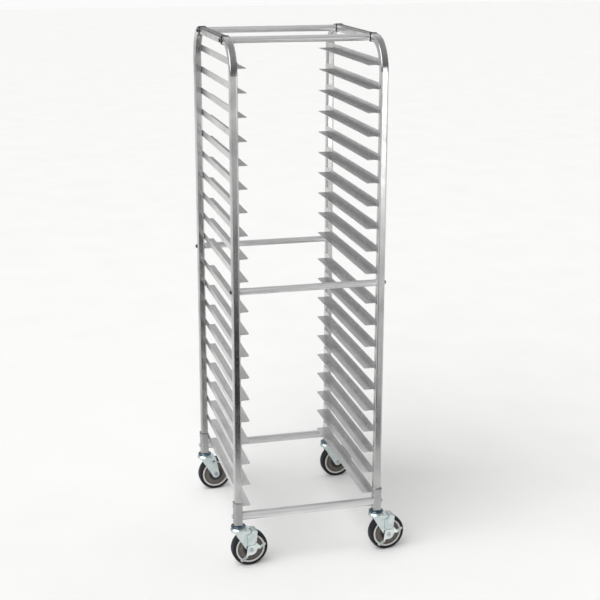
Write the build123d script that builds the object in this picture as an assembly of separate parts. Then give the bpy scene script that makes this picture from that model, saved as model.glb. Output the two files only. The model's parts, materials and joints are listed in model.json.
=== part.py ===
from build123d import *
import os

# Twenty-level end-load sheet pan rack on four swivel casters.
# Millimetres, +Z up. The front (where the braked casters are) faces -Y and +X is to its right.
# Every piece is made about the frame's own centre, with the floor at Z = 0. At the end the whole
# rack is moved so that the origin is the middle of its footprint on the floor.

# Frame: overall sizes
RACK_WIDTH = 514.35
RACK_DEPTH = 660.4
FRAME_TOP = 1776.0
FRAME_FOOT = 152.4

# Square tube of the two side frames
TUBE = 25.4
TUBE_WALL = 1.6
TUBE_CORNER = 5.0
BEND_RADIUS = 100.0
JOINT_Y = 200.0

# Couplers that join the bent uprights to the top rails
COUPLER_LENGTH = 7.0
COUPLER_PROUD = 2.0
SPIGOT_IN_RAIL = 30.0
SPIGOT_IN_BEND = 12.0
SPIGOT_SLACK = 0.1

# Runners that carry the pans
LEVELS_PER_GROUP = 10
LEVEL_PITCH = 76.2
GROUP_GAP = 101.6
LOWEST_RUNNER = 210.0
RUNNER_THICKNESS = 1.6
RUNNER_FLANGE = 22.2
RUNNER_LEG_INNER_X = 198.0
RUNNER_LEG_HALF = 306.0
RUNNER_FLANGE_HALF = 322.0
RUNNER_CORNER = 6.0

# Cross bars
BAR_DIAMETER = 22.2
BAR_WALL = 1.5
TOP_BAR_Z = FRAME_TOP - TUBE / 2
MIDDLE_BAR_Z = 970.0
BOTTOM_BAR_DIAMETER = 28.6
BOTTOM_BAR_Z = 181.5
PLUG_LENGTH = 22.0
PLUG_SLACK = 0.05

# Caster sockets: channels round the foot of each upright
SOCKET_WALL = 3.0
SOCKET_TOP = 231.0
SOCKET_TOP_CHAMFER = 1.6

# Fasteners
BOLT_DIAMETER = 8.0
BOLT_HOLE = 8.4
BOLT_HEAD_DIAMETER = 13.0
BOLT_HEAD_HEIGHT = 5.5
WASHER_DIAMETER = 16.0
WASHER_THICKNESS = 1.4
RIVET_DIAMETER = 4.8
RIVET_HOLE = 5.0
RIVET_HEAD_DIAMETER = 9.5
RIVET_HEAD_HEIGHT = 2.4
SOCKET_RIVET_Z = 219.0

# Casters: all four trail to the right and a little back
HEADING = 5.0
WHEEL_DIAMETER = 125.0
WHEEL_WIDTH = 32.0
TREAD_THICKNESS = 11.5
LEAD = 38.0
AXLE_Z = WHEEL_DIAMETER / 2
HUB_WIDTH = 34.0
HUB_RADIUS = 17.0
WEB_THICKNESS = 20.0
RIM_INNER_RADIUS = 45.0
GUARD_RADIUS = 26.0
GUARD_THICKNESS = 2.0
GUARD_GAP = 0.4
BUSH_OUTER_RADIUS = 8.0
BUSH_SLACK = 0.06
FORK_INNER = 19.6
FORK_SHEET = 3.0
CROWN_TOP = 132.0
CROWN_RADIUS = 27.0
CROWN_END = 37.0
CROWN_CORNER = 8.0
LEG_TIP_RADIUS = 13.5
LEG_TIP_DROP = 7.0
LEG_LEFT_LEAN = 0.65
LEG_RIGHT_LEAN = 13.0 / 68.0
BRAKE_HOLE_RADIUS = 4.5
BRAKE_HOLE_BACK = 8.0
BRAKE_HOLE_RISE = 54.0
FIT_GAP = 0.05
AXLE_RADIUS = 4.75
AXLE_SLACK = 0.08
AXLE_HEAD_RADIUS = 7.5
AXLE_HEAD_HEIGHT = 3.0
AXLE_RECESS_RADIUS = 3.2
AXLE_RECESS_FLOOR = 0.4
AXLE_THREAD_END = 1.5
NUT_HALF_WIDTH = 7.5
NUT_HEIGHT = 7.0

# Swivel bearing
KINGPIN_RADIUS = 6.0
KINGPIN_SLACK = 0.08
KINGPIN_HEAD_RADIUS = 11.0
KINGPIN_HEAD_HEIGHT = 4.0
STEM_RADIUS = 10.95
STEM_LENGTH = 62.0
STEM_SHOULDER = 5.0
UPPER_RACE_BOTTOM = 143.6
LOWER_RACE_TOP = 141.6
LOWER_RACE_RISE = 4.0
LOWER_RACE_NECK = 7.0
BALL_RADIUS = 3.0
BALL_CIRCLE_RADIUS = 17.5
BALL_COUNT = 14
BALL_GROOVE_RADIUS = 3.3
RACE_RADIUS = 25.0
BELL = ((14.5, 0.0), (18.5, 1.2), (22.6, 3.4), (24.6, 5.2), (RACE_RADIUS, 6.6))

# Brake on each front caster
BRAKE_GAP = 0.3
SHOE_SHEET = 2.5
SHOE_LIFT = 3.5
SHOE_START = 41.0
SHOE_END = 61.0
SHOE_PLATE_LEFT = ((-13.0, 15.5), (-13.0, 52.0), (-10.0, 56.0), (-2.0, 58.0))
SHOE_PLATE_RIGHT = ((19.0, 20.0), (13.0, 12.5), (0.0, 9.5))
SHOE_PLATE_SHOULDER = 66.0
SHOE_PLATE_TUCK = 0.12
LEVER_SHEET = 3.0
LEVER_TILT = 32.0
LEVER_HALF = 51.5
LEVER_HUB_HALF = 27.0
LEVER_EDGE = -11.5
LEVER_STRIP = 4.0
LEVER_BOSS_TOP = 16.5
LEVER_BOSS_BOTTOM = -19.0
LEVER_BOSS_HALF = 12.0
LEVER_BELLY_HALF = 16.0
LEVER_SHOULDER = 10.0
PEDAL_THICKNESS = 2.5
PEDAL_REACH = 7.0
PEDAL_LENGTH = 28.0
PEDAL_CORNER = 4.0

# Worked out from the sizes above
HALF_WIDTH = RACK_WIDTH / 2
HALF_DEPTH = RACK_DEPTH / 2
INNER_X = HALF_WIDTH - TUBE
POST_X = HALF_WIDTH - TUBE / 2
POST_Y = HALF_DEPTH - TUBE / 2
WHEEL_RADIUS = WHEEL_DIAMETER / 2
FORK_OUTER = FORK_INNER + FORK_SHEET
LEVER_INNER = FORK_OUTER + BRAKE_GAP + SHOE_SHEET + BRAKE_GAP
LEVER_OUTER = LEVER_INNER + LEVER_SHEET
CORNERS = {
    "front_left": (-1, -1),
    "front_right": (1, -1),
    "rear_left": (-1, 1),
    "rear_right": (1, 1),
}
BRAKED = ("front_left", "front_right")


def runner_levels(first):
    """Undersides of one group of runners, counted up from the group's lowest."""
    return [first + LEVEL_PITCH * level for level in range(LEVELS_PER_GROUP)]


LOWER_LEVELS = runner_levels(LOWEST_RUNNER)
UPPER_LEVELS = runner_levels(LOWER_LEVELS[-1] + GROUP_GAP)


def rod(axis, radius, start, end, a, b):
    """A round rod along X, Y or Z from start to end, at (a, b) on the other two axes."""
    length = end - start
    middle = (start + end) / 2
    if axis == "x":
        return Pos(middle, a, b) * Rot(0, 90, 0) * Cylinder(radius, length)
    if axis == "y":
        return Pos(a, middle, b) * Rot(90, 0, 0) * Cylinder(radius, length)
    return Pos(a, b, middle) * Cylinder(radius, length)


def block(low, high):
    """A box between two opposite corners."""
    sizes = [h - l for l, h in zip(low, high)]
    middle = [(h + l) / 2 for l, h in zip(low, high)]
    return Pos(*middle) * Box(*sizes)


def square_tube(size, wall, corner, path):
    """A square tube with rounded corners, swept along a path that starts straight up."""
    plane = Plane(path @ 0, z_dir=path % 0)
    outer = plane * RectangleRounded(size, size, corner)
    inner_size = size - 2 * wall
    inner = plane * RectangleRounded(inner_size, inner_size, corner - wall)
    return sweep(outer, path) - sweep(inner, path)


def upright(side, end):
    """One upright with its bent top, ending at the coupler. side is -1 or 1 in X, end in Y."""
    straight_top = FRAME_TOP - TUBE / 2 - BEND_RADIUS
    y = end * POST_Y
    bend_end_y = end * (POST_Y - BEND_RADIUS)
    top_z = FRAME_TOP - TUBE / 2
    joint_y = end * (JOINT_Y + COUPLER_LENGTH / 2)
    x = side * POST_X
    foot = (x, y, FRAME_FOOT)
    knee = (x, y, straight_top)
    path = Wire(
        [
            Line(foot, knee).edge(),
            TangentArc([knee, (x, bend_end_y, top_z)], tangent=(0, 0, 1)).edge(),
            Line((x, bend_end_y, top_z), (x, joint_y, top_z)).edge(),
        ]
    )
    tube = square_tube(TUBE, TUBE_WALL, TUBE_CORNER, path)
    for hole_y, z in ((y, MIDDLE_BAR_Z), (y, BOTTOM_BAR_Z), (end * JOINT_Y, top_z)):
        tube -= rod("x", BOLT_HOLE / 2, x - TUBE, x + TUBE, hole_y, z)
    outside = sorted((x, x + side * TUBE))
    return tube - rod("x", RIVET_HOLE / 2, *outside, y, SOCKET_RIVET_Z)


def top_rail(side):
    """The straight level tube between the two couplers of a side frame."""
    x = side * POST_X
    z = FRAME_TOP - TUBE / 2
    half = JOINT_Y - COUPLER_LENGTH / 2
    path = Wire([Line((x, -half, z), (x, half, z)).edge()])
    tube = square_tube(TUBE, TUBE_WALL, TUBE_CORNER, path)
    for joint_y in (-JOINT_Y, JOINT_Y):
        tube -= rod("x", BOLT_HOLE / 2, x - TUBE, x + TUBE, joint_y, z)
    return tube


def coupler(side, end):
    """Collar that shows between upright and rail, with a spigot inside each tube."""
    x = side * POST_X
    y = end * JOINT_Y
    z = FRAME_TOP - TUBE / 2
    collar_size = TUBE + 2 * COUPLER_PROUD
    spigot_size = TUBE - 2 * TUBE_WALL - 2 * SPIGOT_SLACK
    facing = Plane((x, y, z), z_dir=(0, 1, 0))
    collar = extrude(
        facing * RectangleRounded(collar_size, collar_size, TUBE_CORNER + COUPLER_PROUD),
        COUPLER_LENGTH / 2,
        both=True,
    )
    collar = fillet(collar.edges().filter_by(Plane.XZ), COUPLER_PROUD / 2)
    section = facing * RectangleRounded(spigot_size, spigot_size, TUBE_CORNER - TUBE_WALL)
    in_bend = extrude(section, end * (COUPLER_LENGTH / 2 + SPIGOT_IN_BEND))
    in_rail = extrude(section, -end * (COUPLER_LENGTH / 2 + SPIGOT_IN_RAIL))
    body = collar + in_bend + in_rail
    return body - rod("x", BOLT_HOLE / 2, x - TUBE, x + TUBE, y, z)


def runner(side, z):
    """An L-shaped runner: upright flange on the posts, level leg inwards to carry the pan rim."""
    outer_x = INNER_X
    inner_x = RUNNER_LEG_INNER_X
    leg = block(
        (inner_x, -RUNNER_LEG_HALF, z), (outer_x, RUNNER_LEG_HALF, z + RUNNER_THICKNESS)
    )
    corners = leg.edges().filter_by(Axis.Z).group_by(Axis.X)[0]
    leg = fillet(corners, RUNNER_CORNER)
    flange = block(
        (outer_x - RUNNER_THICKNESS, -RUNNER_FLANGE_HALF, z),
        (outer_x, RUNNER_FLANGE_HALF, z + RUNNER_FLANGE),
    )
    corners = flange.edges().filter_by(Axis.X).group_by(Axis.Z)[-1]
    flange = fillet(corners, RUNNER_CORNER / 2)
    piece = leg + flange
    heel = piece.edges().filter_by(Axis.Y).sort_by(Axis.Z)[:2].sort_by(Axis.X)[-1]
    piece = fillet(heel, RUNNER_THICKNESS * 0.9)
    return piece if side > 0 else mirror(piece, Plane.YZ)


def runner_group(side, levels):
    """Ten runners as separate solids of one node."""
    return [runner(side, z) for z in levels]


def round_bar(half, diameter, y, z):
    """A cross bar: round tube between the inner faces of the side frames."""
    outer = rod("x", diameter / 2, -half, half, y, z)
    return outer - rod("x", diameter / 2 - BAR_WALL, -half, half, y, z)


def bar_places():
    """Half length, diameter, Y and Z of the six cross bars, by name."""
    places = {}
    between_couplers = INNER_X - COUPLER_PROUD
    for name, end in (("front", -1), ("rear", 1)):
        joint_y, post_y = end * JOINT_Y, end * POST_Y
        places["top_bar_" + name] = (between_couplers, BAR_DIAMETER, joint_y, TOP_BAR_Z)
        places["middle_bar_" + name] = (INNER_X, BAR_DIAMETER, post_y, MIDDLE_BAR_Z)
        places["bottom_bar_" + name] = (INNER_X, BOTTOM_BAR_DIAMETER, post_y, BOTTOM_BAR_Z)
    return places


def bar_plug(side, half, diameter, y, z):
    """The tapped plug in one end of a cross bar."""
    radius = diameter / 2 - BAR_WALL - PLUG_SLACK
    start, end = sorted((side * half, side * (half - PLUG_LENGTH)))
    plug = rod("x", radius, start, end, y, z)
    return plug - rod("x", BOLT_DIAMETER / 2 + PLUG_SLACK, start, end, y, z)


def domed_bolt(side, face_x, y, z):
    """Domed bolt with a washer: it goes in at face_x and ends inside the bar's plug."""
    shank_end = side * (INNER_X - PLUG_LENGTH + 4)
    washer_face = face_x + side * WASHER_THICKNESS
    shank = rod("x", BOLT_DIAMETER / 2, *sorted((shank_end, washer_face)), y, z)
    head_end = washer_face + side * BOLT_HEAD_HEIGHT
    head = rod("x", BOLT_HEAD_DIAMETER / 2, *sorted((washer_face, head_end)), y, z)
    rim = head.edges().filter_by(GeomType.CIRCLE).sort_by(Axis.X)
    head = fillet(rim[-1] if side > 0 else rim[0], BOLT_HEAD_HEIGHT * 0.8)
    return shank + head


def washer(side, face_x, y, z):
    """Flat washer under a bolt head."""
    span = sorted((face_x, face_x + side * WASHER_THICKNESS))
    hole = BOLT_DIAMETER / 2 + PLUG_SLACK
    return rod("x", WASHER_DIAMETER / 2, *span, y, z) - rod("x", hole, *span, y, z)


def bolt_places(group):
    """(side, outer face X, Y, Z) of the four bolts of the top, middle or bottom bars."""
    face = {
        "top": HALF_WIDTH + COUPLER_PROUD,
        "middle": HALF_WIDTH,
        "bottom": HALF_WIDTH + SOCKET_WALL,
    }[group]
    y = JOINT_Y if group == "top" else POST_Y
    z = {"top": TOP_BAR_Z, "middle": MIDDLE_BAR_Z, "bottom": BOTTOM_BAR_Z}[group]
    return [(side, side * face, end * y, z) for side, end in CORNERS.values()]


def caster_socket(side, end):
    """Channel round three sides of an upright's foot, open towards the inside of the rack."""
    x = side * POST_X
    y = end * POST_Y
    size = TUBE + 2 * SOCKET_WALL
    height = SOCKET_TOP - FRAME_FOOT
    base = Plane((x, y, FRAME_FOOT))
    channel = extrude(base * RectangleRounded(size, size, TUBE_CORNER + SOCKET_WALL), height)
    top = channel.faces().sort_by(Axis.Z)[-1]
    channel = chamfer(top.edges(), SOCKET_TOP_CHAMFER)
    channel -= extrude(base * RectangleRounded(TUBE, TUBE, TUBE_CORNER), height)
    inner, outer = sorted((side * INNER_X, side * (INNER_X - 2 * SOCKET_WALL)))
    channel -= block((inner, y - size, FRAME_FOOT), (outer, y + size, SOCKET_TOP))
    far = side * (POST_X + TUBE)
    channel -= rod("x", BOLT_HOLE / 2, *sorted((x, far)), y, BOTTOM_BAR_Z)
    channel -= rod("x", RIVET_HOLE / 2, *sorted((x, far)), y, SOCKET_RIVET_Z)
    return channel


def socket_rivet(side, end):
    """Low-domed rivet through socket and upright, on the outer face."""
    y = end * POST_Y
    face = side * (HALF_WIDTH + SOCKET_WALL)
    tip = side * (HALF_WIDTH - TUBE_WALL - 2)
    shank = rod("x", RIVET_DIAMETER / 2, *sorted((tip, face)), y, SOCKET_RIVET_Z)
    end_x = face + side * RIVET_HEAD_HEIGHT
    head = rod("x", RIVET_HEAD_DIAMETER / 2, *sorted((face, end_x)), y, SOCKET_RIVET_Z)
    rim = head.edges().filter_by(GeomType.CIRCLE).sort_by(Axis.X)
    head = fillet(rim[-1] if side > 0 else rim[0], RIVET_HEAD_HEIGHT * 0.8)
    return shank + head


# Casters are drawn with the stem on the Z axis, the wheel trailing to +X and the axle along Y.
# The side that the brake is on is -Y.


def revolved(points):
    """Solid of revolution about Z from (radius, height) points."""
    outline = make_face(Polyline(*[(r, 0, z) for r, z in points], close=True))
    return revolve(outline, Axis.Z)


def caster_stem():
    """Stem in the upright's foot with the kingpin and its riveted head, in one piece."""
    head_top = CROWN_TOP - FORK_SHEET - BRAKE_GAP
    head_bottom = head_top - KINGPIN_HEAD_HEIGHT
    shoulder = UPPER_RACE_BOTTOM + STEM_SHOULDER
    stem = rod("z", STEM_RADIUS, shoulder, FRAME_FOOT + STEM_LENGTH, 0, 0)
    pin = rod("z", KINGPIN_RADIUS, head_bottom, shoulder, 0, 0)
    head = rod("z", KINGPIN_HEAD_RADIUS, head_bottom, head_top, 0, 0)
    rim = head.edges().filter_by(GeomType.CIRCLE).sort_by(Axis.Z)[0]
    head = fillet(rim, KINGPIN_HEAD_HEIGHT / 2)
    return stem + pin + head


def ball_groove(z):
    """Ring-shaped groove for the swivel balls."""
    return Pos(0, 0, z) * Torus(BALL_CIRCLE_RADIUS, BALL_GROOVE_RADIUS)


def upper_race():
    """Fixed bearing cup under the socket, flared like a bell."""
    seat = UPPER_RACE_BOTTOM + STEM_SHOULDER - FIT_GAP
    flare = [(radius, FRAME_FOOT - drop) for radius, drop in BELL]
    profile = [(STEM_RADIUS + FIT_GAP, FRAME_FOOT)] + flare
    profile += [
        (RACE_RADIUS, UPPER_RACE_BOTTOM),
        (KINGPIN_RADIUS + FIT_GAP, UPPER_RACE_BOTTOM),
        (KINGPIN_RADIUS + FIT_GAP, seat),
        (STEM_RADIUS + FIT_GAP, seat),
    ]
    return revolved(profile) - ball_groove((UPPER_RACE_BOTTOM + LOWER_RACE_TOP) / 2)


def swivel_balls():
    """Ring of steel balls between the races."""
    z = (UPPER_RACE_BOTTOM + LOWER_RACE_TOP) / 2
    step = 360 / BALL_COUNT
    ball = Pos(BALL_CIRCLE_RADIUS, 0, z) * Sphere(BALL_RADIUS)
    return [Rot(0, 0, step * number) * ball for number in range(BALL_COUNT)]


def leg_outline():
    """Fork leg seen from the side: broad under the crown, narrowing to a round axle boss."""
    rise = CROWN_TOP - AXLE_Z
    left_top = (LEAD - LEG_TIP_RADIUS - LEG_LEFT_LEAN * rise, CROWN_TOP)
    right_top = (LEAD + LEG_TIP_RADIUS - LEG_RIGHT_LEAN * rise, CROWN_TOP)
    tip_half = (LEG_TIP_RADIUS**2 - LEG_TIP_DROP**2) ** 0.5
    left_low = (LEAD - tip_half, AXLE_Z - LEG_TIP_DROP)
    right_low = (LEAD + LEG_TIP_RADIUS, AXLE_Z)
    bottom = (LEAD, AXLE_Z - LEG_TIP_RADIUS)
    rim = ThreePointArc(left_low, bottom, right_low)
    sides = Polyline(right_low, right_top, left_top, left_low)
    return make_face(Plane.XZ * (rim + sides))


def fork_leg(side, braked):
    """One leg of the fork. The unbraked fork keeps its empty brake hole."""
    inner, outer = side * FORK_INNER, side * FORK_OUTER
    leg = extrude(leg_outline(), FORK_SHEET)
    lowest = leg.bounding_box().min.Y
    leg = Pos(0, min(inner, outer) - lowest, 0) * leg
    span = sorted((inner, outer))
    leg -= rod("y", AXLE_RADIUS + AXLE_SLACK, *span, LEAD, AXLE_Z)
    if not braked:
        hole_x = LEAD - BRAKE_HOLE_BACK
        leg -= rod("y", BRAKE_HOLE_RADIUS, *span, hole_x, AXLE_Z + BRAKE_HOLE_RISE)
    return leg


def fork(braked):
    """Pressed crown with the lower ball race drawn up from it, and two legs."""
    crown_bottom = CROWN_TOP - FORK_SHEET
    tongue = block((0, -FORK_OUTER, crown_bottom), (CROWN_END, FORK_OUTER, CROWN_TOP))
    tail = tongue.edges().filter_by(Axis.Z).group_by(Axis.X)[-1]
    tongue = fillet(tail, CROWN_CORNER)
    hole = KINGPIN_RADIUS + KINGPIN_SLACK
    race = revolved(
        [
            (hole, crown_bottom),
            (CROWN_RADIUS, crown_bottom),
            (CROWN_RADIUS, CROWN_TOP + LOWER_RACE_RISE),
            (RACE_RADIUS, CROWN_TOP + LOWER_RACE_NECK),
            (RACE_RADIUS - BALL_RADIUS / 2, LOWER_RACE_TOP),
            (hole, LOWER_RACE_TOP),
        ]
    )
    body = tongue + race + fork_leg(-1, braked) + fork_leg(1, braked)
    body -= ball_groove((UPPER_RACE_BOTTOM + LOWER_RACE_TOP) / 2)
    return body - rod("z", hole, crown_bottom, LOWER_RACE_TOP, 0, 0)


def axle_bolt(braked):
    """Axle bolt with a round recessed head on the -Y side and a hexagon nut on the +Y side."""
    head_face = -(LEVER_OUTER + BRAKE_GAP if braked else FORK_OUTER)
    head_end = head_face - AXLE_HEAD_HEIGHT
    nut_end = FORK_OUTER + NUT_HEIGHT
    shank = rod("y", AXLE_RADIUS, head_end, nut_end + AXLE_THREAD_END, LEAD, AXLE_Z)
    head = rod("y", AXLE_HEAD_RADIUS, head_end, head_face, LEAD, AXLE_Z)
    rim = head.edges().filter_by(GeomType.CIRCLE).sort_by(Axis.Y)[0]
    head = fillet(rim, AXLE_HEAD_HEIGHT / 3)
    floor = head_face - AXLE_RECESS_FLOOR
    recess = rod("y", AXLE_RECESS_RADIUS, head_end, floor, LEAD, AXLE_Z)
    facing = Plane((LEAD, FORK_OUTER, AXLE_Z), x_dir=(1, 0, 0), z_dir=(0, 1, 0))
    nut = extrude(facing * RegularPolygon(NUT_HALF_WIDTH, 6, major_radius=False), NUT_HEIGHT)
    nut -= rod("y", AXLE_RADIUS + FIT_GAP, FORK_OUTER, nut_end, LEAD, AXLE_Z)
    return [(shank + head) - recess, nut]


def axle_bush():
    """Spanner bush that the wheel turns on, clamped between the fork legs."""
    bush = rod("y", BUSH_OUTER_RADIUS, -FORK_INNER, FORK_INNER, LEAD, AXLE_Z)
    return bush - rod("y", AXLE_RADIUS + FIT_GAP, -FORK_INNER, FORK_INNER, LEAD, AXLE_Z)


def thread_guards():
    """Thin discs on the bush that keep thread and string out of the hub."""
    discs = []
    for side in (-1, 1):
        start = side * (HUB_WIDTH / 2 + GUARD_GAP)
        span = sorted((start, start + side * GUARD_THICKNESS))
        disc = rod("y", GUARD_RADIUS, *span, LEAD, AXLE_Z)
        outer = disc.edges().filter_by(GeomType.CIRCLE).sort_by(Axis.Y)
        disc = fillet(outer[-1] if side > 0 else outer[0], GUARD_THICKNESS * 0.45)
        discs.append(disc - rod("y", BUSH_OUTER_RADIUS + FIT_GAP, *span, LEAD, AXLE_Z))
    return discs


def turned_on_axle(points):
    """Solid of revolution about the axle, from (distance along the axle, radius) points."""
    outline = make_face(Polyline(*[(LEAD, y, AXLE_Z + r) for y, r in points], close=True))
    return revolve(outline, Axis((LEAD, 0, AXLE_Z), (0, 1, 0)))


def wheel_core():
    """Moulded wheel centre: hub, thin web and a rim that the tyre sits on."""
    half = WHEEL_WIDTH / 2 - 1.0
    web = WEB_THICKNESS / 2
    hub = HUB_WIDTH / 2
    bore = BUSH_OUTER_RADIUS + BUSH_SLACK
    rim_outer = WHEEL_RADIUS - TREAD_THICKNESS
    right = [
        (hub, bore),
        (hub, HUB_RADIUS),
        (web, HUB_RADIUS + 5.0),
        (web, RIM_INNER_RADIUS - 2.5),
        (half, RIM_INNER_RADIUS),
        (half, rim_outer),
    ]
    left = [(-y, r) for y, r in reversed(right)]
    return turned_on_axle(right + left)


def tyre():
    """Rubber tread ring with rounded shoulders."""
    half = WHEEL_WIDTH / 2
    ring = turned_on_axle(
        [
            (-half, WHEEL_RADIUS - TREAD_THICKNESS),
            (-half, WHEEL_RADIUS),
            (half, WHEEL_RADIUS),
            (half, WHEEL_RADIUS - TREAD_THICKNESS),
        ]
    )
    shoulders = [
        edge
        for edge in ring.edges().filter_by(GeomType.CIRCLE)
        if edge.radius > WHEEL_RADIUS - 1
    ]
    return fillet(shoulders, 5.0)


def brake_shoe():
    """Saddle over the tread with a side plate outside the near fork leg."""
    inner_radius = WHEEL_RADIUS + SHOE_LIFT
    outer_radius = inner_radius + SHOE_SHEET
    plate_near = -(FORK_OUTER + BRAKE_GAP + SHOE_SHEET)
    plate_far = -(FORK_OUTER + BRAKE_GAP)
    arch = rod("y", outer_radius, plate_near, WHEEL_WIDTH / 2, LEAD, AXLE_Z)
    arch -= rod("y", inner_radius, plate_near, WHEEL_WIDTH / 2, LEAD, AXLE_Z)
    arch &= block((SHOE_START, plate_near, AXLE_Z), (SHOE_END, WHEEL_WIDTH / 2, CROWN_TOP))
    end_rise = (outer_radius**2 - (SHOE_END - LEAD) ** 2) ** 0.5
    top = [
        (SHOE_START, AXLE_Z + SHOE_PLATE_SHOULDER),
        (SHOE_START, AXLE_Z + outer_radius - SHOE_PLATE_TUCK),
        (SHOE_END, AXLE_Z + end_rise - SHOE_PLATE_TUCK),
    ]
    left = [(LEAD + x, AXLE_Z + z) for x, z in SHOE_PLATE_LEFT]
    right = [(LEAD + x, AXLE_Z + z) for x, z in SHOE_PLATE_RIGHT]
    plate = make_face(Plane.XZ * Polyline(*left, *top, *right, close=True))
    side_plate = extrude(plate, SHOE_SHEET)
    shift = plate_near - side_plate.bounding_box().min.Y
    return arch + Pos(0, shift, 0) * side_plate


def brake_lever():
    """See-saw brake lever: a hub plate on the axle with a narrow bent pedal at each end."""
    strip_top = LEVER_EDGE + LEVER_STRIP
    hub, boss, belly = LEVER_HUB_HALF, LEVER_BOSS_HALF, LEVER_BELLY_HALF
    upper = Polyline(
        (-LEVER_HALF, LEVER_EDGE),
        (-LEVER_HALF, strip_top),
        (-hub, strip_top),
        (-hub + LEVER_STRIP, strip_top + LEVER_STRIP),
        (-boss, LEVER_SHOULDER),
    )
    crown = ThreePointArc((-boss, LEVER_SHOULDER), (0, LEVER_BOSS_TOP), (boss, LEVER_SHOULDER))
    lower = Polyline(
        (boss, LEVER_SHOULDER),
        (hub - LEVER_STRIP, LEVER_SHOULDER * 0.75),
        (hub - LEVER_STRIP * 0.6, LEVER_SHOULDER * 1.15),
        (hub + LEVER_STRIP * 0.4, LEVER_SHOULDER),
        (hub + LEVER_STRIP, strip_top),
        (LEVER_HALF, strip_top),
        (LEVER_HALF, LEVER_EDGE),
        (belly, LEVER_EDGE),
    )
    sag = ThreePointArc((belly, LEVER_EDGE), (0, LEVER_BOSS_BOTTOM), (-belly, LEVER_EDGE))
    closing = Line((-belly, LEVER_EDGE), (-LEVER_HALF, LEVER_EDGE))
    outline = make_face(Plane.XZ * (upper + crown + lower + sag + closing))
    plate = extrude(outline, LEVER_SHEET)
    shift = -LEVER_OUTER - plate.bounding_box().min.Y
    lever = Pos(0, shift, 0) * plate
    for side in (-1, 1):
        start, end = sorted((side * (LEVER_HALF - PEDAL_LENGTH), side * LEVER_HALF))
        pedal = block(
            (start, -LEVER_OUTER - PEDAL_REACH, LEVER_EDGE),
            (end, -LEVER_INNER, LEVER_EDGE + PEDAL_THICKNESS),
        )
        rounded = pedal.edges().filter_by(Axis.Z).group_by(Axis.Y)[0]
        lever += fillet(rounded, PEDAL_CORNER)
    lever -= rod("y", AXLE_RADIUS + AXLE_SLACK, -LEVER_OUTER, -LEVER_INNER, 0, 0)
    return Pos(LEAD, 0, AXLE_Z) * Rot(0, -LEVER_TILT, 0) * lever


def placed(shape, side, end):
    """A caster piece, turned to the heading and moved under its upright."""
    return Pos(side * POST_X, end * POST_Y, 0) * Rot(0, 0, HEADING) * shape


def frame_parts():
    """Every piece of the welded and bolted frame, by node name."""
    parts = {}
    for name, (side, end) in CORNERS.items():
        parts["upright_" + name] = upright(side, end)
        parts["rail_coupler_" + name] = coupler(side, end)
        parts["caster_socket_" + name] = caster_socket(side, end)
    for name, side in (("left", -1), ("right", 1)):
        parts["top_rail_" + name] = top_rail(side)
        parts["upper_runners_" + name] = runner_group(side, UPPER_LEVELS)
        parts["lower_runners_" + name] = runner_group(side, LOWER_LEVELS)
    plugs = []
    for name, place in bar_places().items():
        parts[name] = round_bar(*place)
        plugs += [bar_plug(side, *place) for side in (-1, 1)]
    parts["bar_end_plugs"] = plugs
    round_places = bolt_places("top") + bolt_places("middle")
    foot_places = bolt_places("bottom")
    parts["cross_bar_bolts"] = [domed_bolt(*place) for place in round_places]
    parts["bottom_bar_bolts"] = [domed_bolt(*place) for place in foot_places]
    parts["bolt_washers"] = [washer(*place) for place in round_places + foot_places]
    parts["socket_rivets"] = [socket_rivet(side, end) for side, end in CORNERS.values()]
    return parts


def caster_parts():
    """Every piece of the four casters, by node name."""
    parts = {}
    stems, races, balls = [], [], []
    cross_hole = rod("y", BOLT_HOLE / 2, -TUBE, TUBE, 0, BOTTOM_BAR_Z)
    for name, (side, end) in CORNERS.items():
        braked = name in BRAKED
        stem = Rot(0, 0, 90 - HEADING) * (caster_stem() - cross_hole)
        stems.append(placed(stem, side, end))
        races.append(placed(upper_race(), side, end))
        balls += [placed(ball, side, end) for ball in swivel_balls()]
        parts["fork_" + name] = placed(fork(braked), side, end)
        axle = [placed(piece, side, end) for piece in axle_bolt(braked)]
        parts["axle_bolt_" + name] = axle
        parts["axle_bush_" + name] = placed(axle_bush(), side, end)
        parts["thread_guards_" + name] = [placed(g, side, end) for g in thread_guards()]
        parts["wheel_core_" + name] = placed(wheel_core(), side, end)
        parts["tyre_" + name] = placed(tyre(), side, end)
        if braked:
            parts["brake_shoe_" + name] = placed(brake_shoe(), side, end)
            parts["brake_lever_" + name] = placed(brake_lever(), side, end)
    parts["caster_stems"] = stems
    parts["swivel_races"] = races
    parts["swivel_balls"] = balls
    return parts


def solids_of(part):
    """The separate solids of one node, whether it was made as one piece or as a list."""
    pieces = part if isinstance(part, list) else [part]
    return [solid for piece in pieces for solid in piece.solids()]


def footprint_shift(parts):
    """Move that puts the origin at the middle of the whole rack's footprint."""
    boxes = [solid.bounding_box() for solids in parts.values() for solid in solids]
    x = (min(b.min.X for b in boxes) + max(b.max.X for b in boxes)) / 2
    y = (min(b.min.Y for b in boxes) + max(b.max.Y for b in boxes)) / 2
    return (-x, -y, 0)


def build():
    """All nodes in the rack's own frame, and the shift that was applied."""
    made = {**frame_parts(), **caster_parts()}
    parts = {name: solids_of(part) for name, part in made.items()}
    shift = footprint_shift(parts)
    moved = {name: [Pos(*shift) * s for s in solids] for name, solids in parts.items()}
    return moved, shift


nodes, shift = build()
os.makedirs("parts", exist_ok=True)
for node, solids in nodes.items():
    shape = solids[0] if len(solids) == 1 else Compound(solids)
    export_step(shape, "parts/" + node + ".step")
print(len(nodes), "nodes; frame centre moved to", [round(v, 3) for v in shift])
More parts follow.
